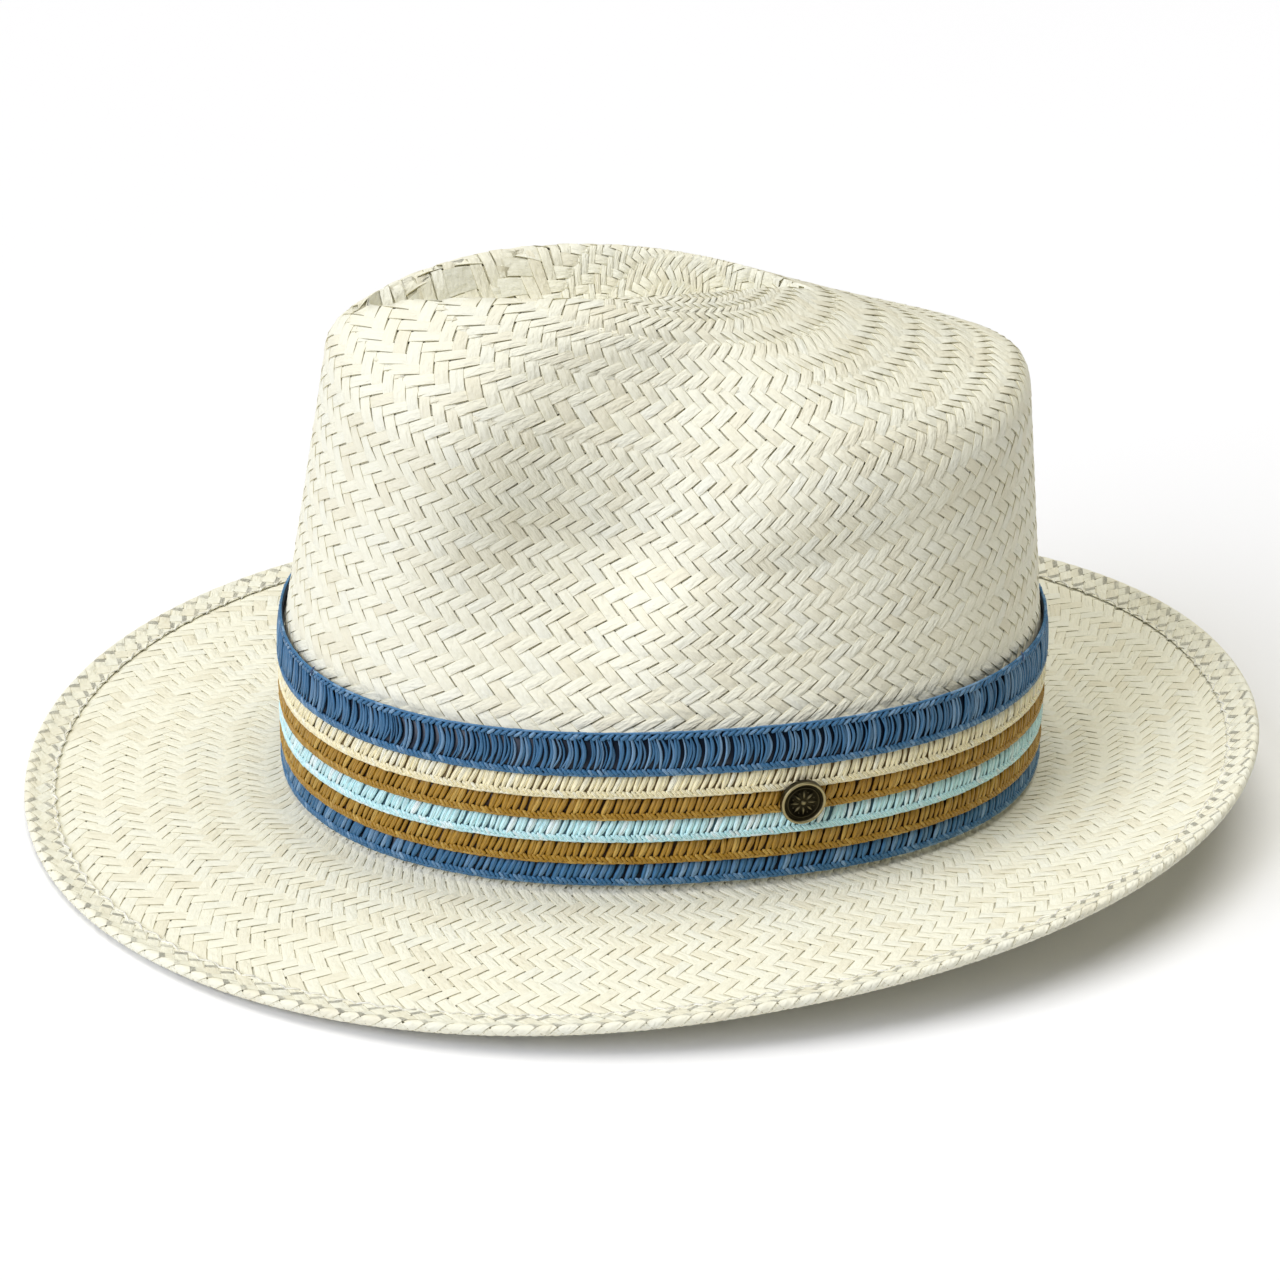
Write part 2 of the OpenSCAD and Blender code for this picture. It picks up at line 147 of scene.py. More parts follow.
def dent_in(x, y, z):
    up = np.clip((z - UPPER_SHAPE) / 50, 0, 1)
    mid = DENT_MID[0] + DENT_MID[1] * up
    v = np.where(y < mid, (mid - y) / DENT_FRONT, (y - mid) / (DENT_BACK[0] + DENT_BACK[1] * up))
    return (DENT_DEPTH * np.exp(-np.abs(v) ** 2.4) * smooth((z - DENT_LOW) / DENT_RISE)
            * smooth((np.abs(x) - crease_w(y)) / DENT_EDGE))


def shaped(x, y, z, t):
    """A point of the crown after the crease and the finger dents are pressed in."""
    low = z - np.where(z > UPPER_SHAPE, crease_z(x, y), 0) + root_z(t) * (1 - np.minimum(z / 110, 1))
    return np.stack([x - np.sign(x) * dent_in(x, y, z), y + 0 * low, low], axis=-1)


fine_turns = np.linspace(0, FULL_TURN, 2881)


def arc_length(out):
    """Length round the hat to each of the fine turns, on a line a distance out from the oval."""
    steps = np.linalg.norm(np.diff(at(fine_turns, out, 0.0), axis=0), axis=1)
    return np.concatenate([[0], np.cumsum(steps)])


ARC = arc_length(1.5)
BAND_LEN = ARC[-1]                  # length of the hatband right round


def angle_of(s):
    """The angle round the hat at a length along the hatband."""
    return np.interp(s % BAND_LEN, ARC, fine_turns)


CENTRE_Y = (brim_width(0.0) - brim_width(math.pi)) / 2
BASE_LIFT = STRAW_T - edge_z(np.arange(64) * FULL_TURN / 64).min()


def placed(points):
    """From the hat's own millimetres to the frame's metres."""
    return (points + np.array([0, CENTRE_Y, BASE_LIFT])) * MM


# ---------------------------------------------------------------- the weave's surface as one table
MID = STRAW_T / 2                   # the weave's middle lies this far inside the outer skin
TABLE_TURNS = 720                   # table columns round the hat
ROW_STEP = 0.25                     # table step along the rows
ROW_FLAP, ROW_HEM, ROW_ROOT, ROW_TOP = -30.5, -22.5, 0.0, 103.0
FRONT_EASE = 0.115                  # how much wider the crown's strips lie at the front than at the back
FLAP_LIFT = -0.1                    # how far the sewn edge of the hem's flap lies above the brim
EDGE_OUT = 65.0                     # the brim's strips are spaced evenly this far out from the crown
# How far apart the crown's rows lie, as (share of the way up and over to the middle, relative distance).
ROW_PITCH = ((0, 1), (0.42, 0.97), (0.58, 1.12), (0.7, 1.36), (0.76, 1.55), (0.82, 1.55), (0.86, 0.62),
             (1, 0.62))
EVEN_PITCH = ((0, 1), (1, 1))


def spaced_rows(path, first, last, pitch=EVEN_PITCH):
    """A path of points (turns, n, 3) resampled in rows first to last, with the given relative distances."""
    step = np.linalg.norm(np.diff(path, axis=1), axis=2)
    length = np.concatenate([np.zeros((len(path), 1)), np.cumsum(step, axis=1)], axis=1)
    share = length / length[:, -1:]
    fine = np.linspace(0, 1, 401)
    rows = np.concatenate([[0], np.cumsum(1 / np.interp(fine, *np.transpose(pitch))[1:])])
    wanted = np.interp(np.linspace(0, 1, round((last - first) / ROW_STEP) + 1), rows / rows[-1], fine)
    out = np.empty((len(path), len(wanted), 3))
    for i in range(len(path)):
        for axis in range(3):
            out[i, :, axis] = np.interp(wanted, share[i], path[i, :, axis])
    return out


def hem_path(t):
    """From the end of the hem's flap, out over the wire and back under, to where the brim is one layer."""
    w = brim_width(t)
    mid = w - EYE_R - STRAW_T
    z_mid = brim_z(t, mid) + EYE_R
    r = EYE_R + MID
    points = []
    for f in (0, 0.35, 0.7, 1):
        d = w - HEM_W + f * (mid - 2 - w + HEM_W)
        lift = FLAP_LIFT + f * (HEM_GAP + HEM_T / 2 + 0.25 - FLAP_LIFT)
        points.append(at(t, d, brim_z(t, d) + lift))
    for a in np.radians(np.linspace(90, -90, 13)):
        points.append(at(t, mid + r * np.cos(a), z_mid + r * np.sin(a)))
    for f in (0.25, 0.5, 0.75, 1):
        d = mid + f * (w - HEM_W - mid)
        points.append(at(t, d, brim_z(t, d) - MID))
    return np.stack(points, axis=1)


def brim_path(t):
    """From the hem in to the brim's root, and up its fillet to the crown."""
    flap_end = brim_width(t) - HEM_W
    points = []
    for f in np.linspace(0, 1, 24):
        d = flap_end + f * (ROOT_FILLET - flap_end)
        points.append(at(t, d, brim_z(t, d) - MID))
    r = ROOT_FILLET + MID
    for a in np.radians(np.linspace(78, 0, 8)):
        z = brim_z(t, 0) + ROOT_FILLET - r * np.sin(a)
        points.append(at(t, ROOT_FILLET - r * np.cos(a), z))
    return np.stack(points, axis=1)


def crown_path(t):
    """The uncreased crown, from its foot up the wall, over the edge and across the roof to its middle."""
    r0 = oval_r(t) - MID
    r1 = oval_r(t) * (1 - blend3(t, LEAN)) - MID
    edge = blend3(t, EDGE)
    sin, cos = np.sin(t), np.cos(t)
    z1 = roof_z(r1 * sin, -r1 * cos) - MID
    z_wall = z1 - edge
    r2 = r1 - edge
    z2 = roof_z(r2 * sin, -r2 * cos) - MID
    radius = [r0 + 0 * z1 for f in range(8)]
    height = [FOOT + (UPRIGHT_H - FOOT) * f / 8 + 0 * z1 for f in range(8)]
    for f in np.linspace(0, 1, 14)[:-1]:
        radius.append(r0 + (r1 - r0) * f)
        height.append(UPRIGHT_H + (z_wall - UPRIGHT_H) * f)
    for f in np.linspace(1, 0, 22)[:-1]:
        g = 1 - f
        radius.append(r2 * g * g + r1 * (1 - g * g))
        height.append(z2 * g * g + z1 * 2 * f * g + z_wall * f * f)
    for f in np.linspace(1, 0, 70):
        radius.append(r2 * f)
        height.append(roof_z(r2 * f * sin, -r2 * f * cos) - MID)
    radius, height = np.stack(radius, 1), np.stack(height, 1)
    return np.stack([radius * sin[:, None], -radius * cos[:, None], height], axis=-1)


def with_normals(points):
    """A table of points and the weave's outward normals at them."""
    along = np.roll(points, -1, axis=0) - np.roll(points, 1, axis=0)
    normal = np.cross(along, np.gradient(points, axis=1))
    normal /= np.maximum(np.linalg.norm(normal, axis=2, keepdims=True), 1e-9)
    return points, normal


def crown_table():
    """The middle of the crown's straw, by share of its strips and row, and its outward normal."""
    share = np.arange(TABLE_TURNS) / TABLE_TURNS
    eased = ARC / BAND_LEN - FRONT_EASE / FULL_TURN * np.sin(FULL_TURN * ARC / BAND_LEN)
    t = np.interp(share, eased, fine_turns)
    crown = spaced_rows(crown_path(t), ROW_ROOT, ROW_TOP, ROW_PITCH)
    points, normal = with_normals(shaped(crown[..., 0], crown[..., 1], crown[..., 2], t[:, None]))
    normal[:, -1] = normal[:, -3:-2].mean(axis=0)
    return points, normal, ROW_ROOT


def brim_table():
    """The same for the hem and the brim."""
    share = np.arange(TABLE_TURNS) / TABLE_TURNS
    edge = arc_length(EDGE_OUT)
    t = np.interp(share, edge / edge[-1], fine_turns)
    hem = spaced_rows(hem_path(t), ROW_FLAP, ROW_HEM)
    brim = spaced_rows(brim_path(t), ROW_HEM, ROW_ROOT + 1)
    return *with_normals(np.concatenate([hem[:, :-1], brim], axis=1)), ROW_FLAP


CROWN, BRIM = crown_table(), brim_table()


def sample(table, turns, row, first_row):
    """A table read between its entries, at a share of a full turn and a row."""
    x = (turns % 1.0) * TABLE_TURNS
    y = np.clip((row - first_row) / ROW_STEP, 0, table.shape[1] - 1.001)
    i, j = np.floor(x).astype(int), np.floor(y).astype(int)
    u, v = (x - i)[..., None], (y - j)[..., None]
    i0, i1 = i % TABLE_TURNS, (i + 1) % TABLE_TURNS
    near = table[i0, j] * (1 - u) + table[i1, j] * u
    far = table[i0, j + 1] * (1 - u) + table[i1, j + 1] * u
    return near * (1 - v) + far * v


# ---------------------------------------------------------------- meshes of many strands
SIDES = 6                           # corners of a thread's section


def strand_faces(strands, stations, sides=SIDES):
    """Quads of closed strands whose vertices run strand by strand, station by station."""
    start = np.arange(strands)[:, None, None] * stations * sides
    ring = np.arange(stations - 1)[None, :, None] * sides
    j = np.arange(sides)[None, None, :]
    k = (j + 1) % sides
    a, b = start + ring + j, start + ring + k
    quads = [np.stack([a, b, b + sides, a + sides], axis=-1).reshape(-1, 4)]
    first = start.reshape(-1, 1)
    last = first + (stations - 1) * sides
    for k in range(1, sides - 1, 2):
        quads += [first + [k + 2, k + 1, k, 0], last + [0, k, k + 1, k + 2]]
    return np.concatenate(quads)


def joined(parts):
    """Several (points, strand, faces) joined into one."""
    points, strands, faces, count = [], [], [], 0
    for p, s, f in parts:
        points.append(p.reshape(-1, 3))
        strands.append(s.reshape(-1, 3))
        faces.append(f + count)
        count += len(points[-1])
    return np.concatenate(points), np.concatenate(strands), np.concatenate(faces)


def ring_faces(turns, n):
    """Quads of a closed ring whose vertices run turn by turn, n round its section."""
    i, j = np.arange(turns)[:, None], np.arange(n)[None, :]
    i2, j2 = (i + 1) % turns, (j + 1) % n
    return np.stack([i * n + j, i * n + j2, i2 * n + j2, i2 * n + j], axis=-1).reshape(-1, 4)


def mesh_object(name, points, strand, faces):
    """A smooth mesh from points in the hat's millimetres, with (tint, along, across) for its material."""
    mesh = bpy.data.meshes.new(name)
    mesh.from_pydata(placed(points.reshape(-1, 3)).tolist(), [], faces.tolist())
    mesh.polygons.foreach_set("use_smooth", [True] * len(mesh.polygons))
    attribute = mesh.attributes.new("strand", "FLOAT_VECTOR", "POINT")
    attribute.data.foreach_set("vector", strand.astype(np.float32).ravel())
    obj = bpy.data.objects.new(name, mesh)
    bpy.context.scene.collection.objects.link(obj)
    return obj


def finish_piece(obj, material, slot, *nodes, body="hat"):
    """Gives a piece its material and its body, and hides the CAD nodes that it stands for. slot is not used.
    """
    obj.data.materials.append(material)
    if nodes:
        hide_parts(*nodes)
    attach(obj, body)
    return obj


# ---------------------------------------------------------------- woven straw
STRIP_HALF = 0.470                  # half a strip's width, as a share of the strips' spacing
WIDTH_VARIES = 0.035                # how much one strip's width differs from the next, as a share
WIDTH_WANDERS, SIDE_WANDERS, LIFT_WANDERS = 0.03, 0.022, 0.03   # and how much they wander along a strip
STRIP_T = 0.17                      # half a strip's thickness
FLOAT_H = 0.27                      # how far a strip rises over and dives under the middle
DIVE = 1.8                          # how sharply it dives between the two
SHINGLE = 0.05                      # one edge of a strip stands higher than the other by twice this
RUN_ON = 0.6                        # how many rows a zone's strips run on under the next zone
STREAKS_APART = 37                  # millimetres of streaks between one strip and the next
CROWN_TWIST, BRIM_TWIST_ROW = 0.08, -0.03   # how far the weave leans round the hat, in strips a row
# A strip's section as corners (across, up), and its stations along a period of four rows. The hem's strips
# have more of both, to bend round the wire.
SECTION = np.array([(-1, 0), (-0.93, 1), (0.93, 1), (1, 0), (0.93, -1), (-0.93, -1)])
STATIONS = (-2, -1.3, -0.8, 0, 0.8, 1.3)
HEM_SECTION = np.array([(-1, 0), (-0.93, 1), (-0.31, 1), (0.31, 1), (0.93, 1),
                        (1, 0), (0.93, -1), (0.31, -1), (-0.31, -1), (-0.93, -1)])
HEM_STATIONS = tuple(np.arange(-2, 2, 0.4))


def wander(strands, stations, reach, every):
    """Smooth random offsets along each strand."""
    knots = rng.normal(0, reach, (strands, stations // every + 3))
    place = np.arange(stations) / every
    low = np.floor(place).astype(int)
    f = place - low
    return knots[:, low] * (1 - f) + knots[:, low + 1] * f


def station_rows(low, high, centre, stations):
    """The stations of a strip from a little below one row to a little above another, counted from centre."""
    periods = np.arange(math.floor((low - centre) / 4) - 1, math.ceil((high - centre) / 4) + 2)
    b = np.array([4 * p + s for p in periods for s in stations])
    return b[(b + centre > low - 1.2) & (b + centre < high + 1.2)]


def woven_height(row, phase, first_row, last_row):
    """How high a strip lies over the middle of the weave. It dives under at the zone's ends."""
    height = FLOAT_H * np.tanh(DIVE * np.cos(np.pi * phase / 2)) / math.tanh(DIVE)
    outside = np.maximum(first_row - row, 0) + np.maximum(row - last_row, 0)
    return height - 0.9 * FLOAT_H * np.clip(outside / 0.5, 0, 1)


def strip_strand(base, b, across):
    """The strand attribute of strips: each float has its own tint."""
    count = len(base)
    float_no = np.floor((b + 2) / 4).astype(int) - np.floor((b.min() + 2) / 4).astype(int)
    tint = rng.random((count, float_no.max() + 1))[:, float_no]
    steps = np.diff(base[:, :, 2], axis=1, prepend=base[:, :1, 2])
    along = np.cumsum(np.linalg.norm(steps, axis=2), axis=1) + STREAKS_APART * np.arange(count)[:, None]
    return np.stack(np.broadcast_arrays(tint[..., None], along[..., None], across), axis=-1)


def strips(table, twist, first_row, last_row, count, family, section, stations, relief):
    """One family of a zone's strips: 0 leans right as it climbs, 1 leans left."""
    across, up = section.T
    sign, centre = ((1, 0.5), (-1, 2.5))[family]
    low, high = first_row - RUN_ON, last_row + RUN_ON
    b = station_rows(low, high, centre, stations)
    n = len(b)
    width = STRIP_HALF * (1 + rng.normal(0, WIDTH_VARIES, (count, 1)) + wander(count, n, WIDTH_WANDERS, 3))
    a = across * width[..., None] + wander(count, n, SIDE_WANDERS, 3)[..., None]
    row = np.clip(centre + b[None, :, None] - sign * a, low, high)
    turns = (np.arange(count)[:, None, None] + a + sign * row / 2 + twist * row) / count
    height = woven_height(row, row + sign * a - centre, first_row, last_row)
    height = relief * (height + wander(count, n, LIFT_WANDERS, 2)[..., None] + SHINGLE * across * sign)
    base, normal = (sample(part, turns, row, table[2]) for part in table[:2])
    points = base + normal * (height + STRIP_T * (0.5 + relief / 2) * up)[..., None]
    return points, strip_strand(base, b, across), strand_faces(count, n, len(section))


def row_round(row, n=240):
    """Length of a row right round the hat."""
    line = sample(CROWN[0], np.arange(n) / n, np.full(n, float(row)), ROW_ROOT)
    return np.linalg.norm(line - np.roll(line, 1, axis=0), axis=1).sum()


def woven(name, table, twist, zones, relief=1.0, section=SECTION, stations=STATIONS):
    """A woven piece of several zones (first row, last row, strips in each family), with crisp strip edges."""
    parts = [strips(table, twist, *zone, family, section, stations, relief)
             for zone in zones for family in (0, 1)]
    obj = mesh_object(name, *joined(parts))
    ends = np.empty(len(obj.data.edges) * 2, dtype=np.int32)
    obj.data.edges.foreach_get("vertices", ends)
    corner = ends.reshape(-1, 2) % len(section)
    rim = np.abs(section[corner[:, 0], 0]) > 0.9
    crisp = obj.data.attributes.new("sharp_edge", "BOOLEAN", "EDGE")
    crisp.data.foreach_set("value", rim & (corner[:, 0] == corner[:, 1]))
    return obj


# The roof's zones as (first row, last row, distance between strips): strips are let out towards the middle.
ROOF = ((59.5, 67.5, 4.6), (67.5, 73.5, 3.9), (73.5, 79.5, 3.1), (79.5, 87.5, 2.5), (87.5, 95.5, 2.2),
        (95.5, 102.4, 1.9))
roof_zones = [(low, high, round(row_round((low + high) / 2) / step)) for low, high, step in ROOF]


# ---------------------------------------------------------------- materials
def nodes_of(name, **fixed):
    """A material with its node helpers; fixed sets sockets of its Principled BSDF by their names."""
    material = bpy.data.materials.new(name)
    material.use_nodes = True
    shader = material.node_tree.nodes["Principled BSDF"]
    for socket, value in fixed.items():
        shader.inputs[socket.replace("_", " ")].default_value = value
    return material, material.node_tree, shader


def add(tree, kind, sockets=(), **settings):
    """A node with its settings, and its inputs given as values or as links."""
    node = tree.nodes.new(kind)
    for name, value in settings.items():
        setattr(node, name, value)
    for key, value in dict(sockets).items():
        if isinstance(value, bpy.types.NodeSocket):
            tree.links.new(value, node.inputs[key])
        else:
            node.inputs[key].default_value = value
    return node


def ramp(tree, value, *stops):
    """A colour ramp over (position, colour) stops."""
    node = add(tree, "ShaderNodeValToRGB", {"Fac": value})
    elements = node.color_ramp.elements
    while len(elements) < len(stops):
        elements.new(0.5)
    for element, (position, colour) in zip(elements, stops):
        element.position = position
        element.color = (*colour, 1)
    return node.outputs["Color"]


def strand_parts(tree):
    """The strand attribute's random number, and a vector (across, along) in millimetres for streaks."""
    strand = add(tree, "ShaderNodeAttribute", attribute_name="strand")
    split = add(tree, "ShaderNodeSeparateXYZ", {"Vector": strand.outputs["Vector"]})
    return split.outputs["X"], split.outputs["Y"], split.outputs["Z"]


def streaks(tree, tint, along, across, fine, long):
    """Noise drawn out along a strand, different on each strand."""
    shifted = add(tree, "ShaderNodeMath", {0: tint, 1: 91.0}, operation="MULTIPLY")
    u = add(tree, "ShaderNodeMath", {0: across, 1: fine, 2: shifted.outputs[0]}, operation="MULTIPLY_ADD")
    v = add(tree, "ShaderNodeMath", {0: along, 1: long}, operation="MULTIPLY")
    place = add(tree, "ShaderNodeCombineXYZ", {"X": u.outputs[0], "Y": v.outputs[0], "Z": shifted.outputs[0]})
    return add(tree, "ShaderNodeTexNoise", {"Vector": place.outputs[0], "Scale": 1.0, "Detail": 3.0})


def mixed(tree, share, first, second, blend="MIX"):
    node = add(tree, "ShaderNodeMix", data_type="RGBA", blend_type=blend)
    for socket, value in ((node.inputs[0], share), (node.inputs[6], first), (node.inputs[7], second)):
        if isinstance(value, bpy.types.NodeSocket):
            tree.links.new(value, socket)
        else:
            socket.default_value = value if isinstance(value, float) else (*value, 1)
    return node.outputs[2]


def bump(tree, shader, height, distance, strength=1.0):
    node = add(tree, "ShaderNodeBump", {"Height": height, "Distance": distance, "Strength": strength})
    tree.links.new(node.outputs["Normal"], shader.inputs["Normal"])


def straw_material():
    """Bleached paper straw: ivory strips of different tints, with lengthwise fibres and fine pleats, and
    painted shade darkening each strip's edges.
    """
    material, tree, shader = nodes_of("paper_straw", Roughness=0.52, Specular_IOR_Level=0.4)
    tint, along, across = strand_parts(tree)
    fibre = streaks(tree, tint, along, across, 5.0, 0.12)
    crumple = streaks(tree, tint, along, across, 1.6, 0.45)
    base = ramp(tree, tint, (0.0, (0.87, 0.83, 0.65)), (0.3, (0.92, 0.895, 0.725)),
                (0.7, (0.935, 0.915, 0.75)), (1.0, (0.90, 0.89, 0.75)))
    grain = ramp(tree, fibre.outputs["Fac"], (0.3, (0.93, 0.92, 0.86)), (0.6, (1, 1, 1)))
    colour = mixed(tree, 0.5, base, grain, "MULTIPLY")
    square = add(tree, "ShaderNodeMath", {0: across, 1: across}, operation="MULTIPLY")
    # Each strip's edges are coloured darker: painted shade in the gaps between strips.
    painted_edge_shade = ramp(tree, square.outputs[0], (0.86, (1, 1, 1)), (0.94, (0.60, 0.57, 0.45)))
    tree.links.new(mixed(tree, 1.0, colour, painted_edge_shade, "MULTIPLY"), shader.inputs["Base Color"])
    both = add(tree, "ShaderNodeMath", {0: crumple.outputs["Fac"], 1: 12.0, 2: fibre.outputs["Fac"]},
               operation="MULTIPLY_ADD")
    puffed = add(tree, "ShaderNodeMath", {0: square.outputs[0], 1: -3.0, 2: both.outputs[0]},
                 operation="MULTIPLY_ADD")
    bump(tree, shader, puffed.outputs[0], 0.00004)
    return material


def thread_material(name, colour, dark, light, roughness=0.36):
    """Braid of shiny paper yarn: each stroke has its own tint and fine lengthwise fibres, with painted shade
    on the tapes' ground between strokes and a line of painted shade down each thread's middle.
    """
    material, tree, shader = nodes_of(name, Roughness=roughness, Specular_IOR_Level=0.45)
    tint, along, across = strand_parts(tree)
    fibre = streaks(tree, tint, along, across, 4.0, 0.5)
    # Tint 0, which the tapes' ground has, gets the dark colour: painted shade between the strokes.
    base = ramp(tree, tint, (0.0, dark), (0.05, colour), (0.7, colour), (1.0, light))
    grain = ramp(tree, fibre.outputs["Fac"], (0.35, (0.80, 0.80, 0.80)), (0.58, (1.15, 1.15, 1.15)))
    colour = mixed(tree, 1.0, base, grain, "MULTIPLY")
    # A thin dark line down each thread's middle: painted shade in the crease between its plies.
    ply = add(tree, "ShaderNodeMath", {0: across, 1: 0.08, 2: 0.09}, operation="COMPARE")
    painted_ply_shade = ramp(tree, ply.outputs[0], (0, (1, 1, 1)), (1, (0.6, 0.6, 0.6)))
    tree.links.new(mixed(tree, 1.0, colour, painted_ply_shade, "MULTIPLY"), shader.inputs["Base Color"])
    bump(tree, shader, fibre.outputs["Fac"], 0.00012)
    return material


def metal_material(name, recess, colour, light, roughness):
    """Old metal: dark in its hollows and worn bright where it is raised, by the strand attribute's X."""
    material, tree, shader = nodes_of(name, Metallic=1.0)
    place = add(tree, "ShaderNodeTexCoord").outputs["Object"]
    cloud = add(tree, "ShaderNodeTexNoise", {"Vector": place, "Scale": 900.0, "Detail": 5.0})
    raised = strand_parts(tree)[0]
    worn = add(tree, "ShaderNodeMath", {0: cloud.outputs["Fac"], 1: 0.3, 2: raised}, operation="MULTIPLY_ADD")
    base = ramp(tree, worn.outputs[0], (0.2, recess), (0.6, colour), (1.05, light))
    tree.links.new(base, shader.inputs["Base Color"])
    rough = ramp(tree, cloud.outputs["Fac"], (0.3, (roughness,) * 3), (0.7, (roughness + 0.2,) * 3))
    tree.links.new(rough, shader.inputs["Roughness"])
    bump(tree, shader, cloud.outputs["Fac"], 0.00003)
    return material


def cloth_material(name, colour, ribs, depth=0.0001):
    """Ribbed ribbon: ribs across it, along the strand attribute's length, with a finer weave between, and
    painted shade darkening their hollows.
    """
    material, tree, shader = nodes_of(name, Roughness=0.75, Sheen_Weight=0.25)
    _, along, across = strand_parts(tree)
    phase = add(tree, "ShaderNodeMath", {0: along, 1: ribs}, operation="MULTIPLY")
    rib = add(tree, "ShaderNodeMath", {0: phase.outputs[0]}, operation="SINE")
    weft = add(tree, "ShaderNodeMath", {0: across, 1: 9.0}, operation="MULTIPLY")
    weft = add(tree, "ShaderNodeMath", {0: weft.outputs[0]}, operation="SINE")
    both = add(tree, "ShaderNodeMath", {0: weft.outputs[0], 1: 0.25, 2: rib.outputs[0]},
               operation="MULTIPLY_ADD")
    # Where the ribs and weave are low the colour turns darker: painted shade in their hollows.
    shade = tuple(0.8 * c for c in colour)
    share = add(tree, "ShaderNodeMapRange", {"Value": both.outputs[0], "From Min": -1.2, "From Max": 0.4})
    tree.links.new(mixed(tree, share.outputs[0], shade, colour), shader.inputs["Base Color"])
    bump(tree, shader, both.outputs[0], depth)
    return material


def grain_material(name, colour, scale, roughness, metallic=0.0):
    """A plain fine-grained finish for the hidden wire, reed and posts."""
    material, tree, shader = nodes_of(name, Roughness=roughness, Metallic=metallic)
    place = add(tree, "ShaderNodeTexCoord").outputs["Object"]
    cloud = add(tree, "ShaderNodeTexNoise", {"Vector": place, "Scale": scale, "Detail": 4.0})
    shade = tuple(0.75 * c for c in colour)
    tree.links.new(mixed(tree, cloud.outputs["Fac"], shade, colour), shader.inputs["Base Color"])
    bump(tree, shader, cloud.outputs["Fac"], 0.00003)
    return material


straw = straw_material()
# The second colour of each braid is its dark colour, painted shade on the ground between strokes.
blue = thread_material("blue_braid", (0.05, 0.175, 0.34), (0.003, 0.016, 0.045), (0.22, 0.38, 0.56))
cream = thread_material("cream_braid", (0.99, 0.90, 0.60), (0.42, 0.30, 0.13), (1.0, 0.97, 0.78))
ochre = thread_material("ochre_braid", (0.43, 0.235, 0.024), (0.06, 0.02, 0.003), (0.62, 0.40, 0.09))
aqua = thread_material("aqua_braid", (0.64, 0.96, 1.0), (0.17, 0.34, 0.42), (0.88, 1.0, 1.0))
sewing = thread_material("ivory_thread", (0.90, 0.88, 0.76), (0.5, 0.47, 0.36), (0.95, 0.94, 0.86))
navy = thread_material("navy_thread", (0.03, 0.07, 0.17), (0.01, 0.02, 0.04), (0.07, 0.13, 0.26))
brass = metal_material("antique_brass", (0.022, 0.018, 0.009), (0.10, 0.085, 0.045), (0.42, 0.36, 0.20), 0.34)
ribbon = cloth_material("grosgrain", (0.86, 0.85, 0.80), 9.0)
satin = cloth_material("label_satin", (0.90, 0.90, 0.88), 16.0, 0.00004)

# ---------------------------------------------------------------- straw body
BRIM_STRIPS, CROWN_STRIPS = 190, 118


def straw_piece(name, *weave):
    return finish_piece(woven(name, *weave), straw, "straw", "straw_body")


straw_piece("straw_hem", BRIM, BRIM_TWIST_ROW, [(ROW_FLAP, ROW_HEM, BRIM_STRIPS)], 0.2,
            HEM_SECTION, HEM_STATIONS)
straw_piece("straw_brim", BRIM, BRIM_TWIST_ROW, [(ROW_HEM, 1.5, BRIM_STRIPS)], 0.5)
straw_piece("straw_crown", CROWN, CROWN_TWIST, [(1.5, 33.5, CROWN_STRIPS)])
straw_piece("straw_crown_middle", CROWN, CROWN_TWIST, [(33.5, 59.5, CROWN_STRIPS)])
straw_piece("straw_crown_top", CROWN, CROWN_TWIST, roof_zones)


def roof_knot(sides=24, rows=(99.5, 101.5), half=0.35):
    """The small flat knot of straw in which the roof's strips start."""
    turns = np.arange(sides) / sides
    foot, rim = (sample(CROWN[0], turns, np.full(sides, row), ROW_ROOT) for row in rows)
    rise = np.array([0, 0, half])
    middle = rim.mean(axis=0)
    points = np.concatenate([[middle + rise], rim + rise, foot, [middle - rise]])
    upper = 1 + np.arange(sides)
    lower = upper + sides
    slope = np.stack([upper, lower, np.roll(lower, -1), np.roll(upper, -1)], axis=-1)
    a, b, c = (np.roll(upper, -k)[::2] for k in range(3))
    over = np.stack([0 * a, a, b, c], axis=-1)
    under = np.stack([0 * a + len(points) - 1, c + sides, b + sides, a + sides], axis=-1)
    strand = np.zeros((len(points), 3)) + (0.5, 0, 0)
    return mesh_object("straw_crown_knot", points, strand, np.concatenate([slope, over, under]))


finish_piece(roof_knot(), straw, "straw", "straw_body")

# ---------------------------------------------------------------- hatband
ROUND_A = np.cos(np.radians([180, 120, 60, 0, -60, -120]))
ROUND_H = np.sin(np.radians([180, 120, 60, 0, -60, -120]))
UPWARD, TO_FRONT = np.array([0.0, 0, 1]), np.array([0.0, -1, 0.001])
STREAK_STEP, STREAKS_LONG = 0.7, 50   # streaks between two stations of a thread, and how far they may shift


def threads(centre, face, half, thick, tint, start, leaf=5):
    """Closed threads along (threads, stations, 3) points, each with one side towards face.

    start is where each one begins in its streaks. leaf says how blunt their ends are: 2 is an ellipse.
    """
    count, n, _ = centre.shape
    along = np.gradient(centre, axis=1)
    along /= np.linalg.norm(along, axis=2, keepdims=True)
    side = np.cross(along, face)
    side /= np.linalg.norm(side, axis=2, keepdims=True)
    top = np.cross(side, along)
    f = np.linspace(-1, 1, n)
    end = np.sqrt(np.maximum(1 - np.abs(f) ** leaf, 0.12))[None, :, None]
    half = np.broadcast_to(half, (count,))[:, None, None] * end
    points = (centre[:, :, None] + side[:, :, None] * (half * ROUND_A)[..., None]
              + top[:, :, None] * (thick * end * ROUND_H)[..., None])
    length = np.arange(n) * STREAK_STEP + start
    strand = np.stack(np.broadcast_arrays(tint[:, None, None], length[..., None], ROUND_A), axis=-1)
    return points, strand, strand_faces(count, n)


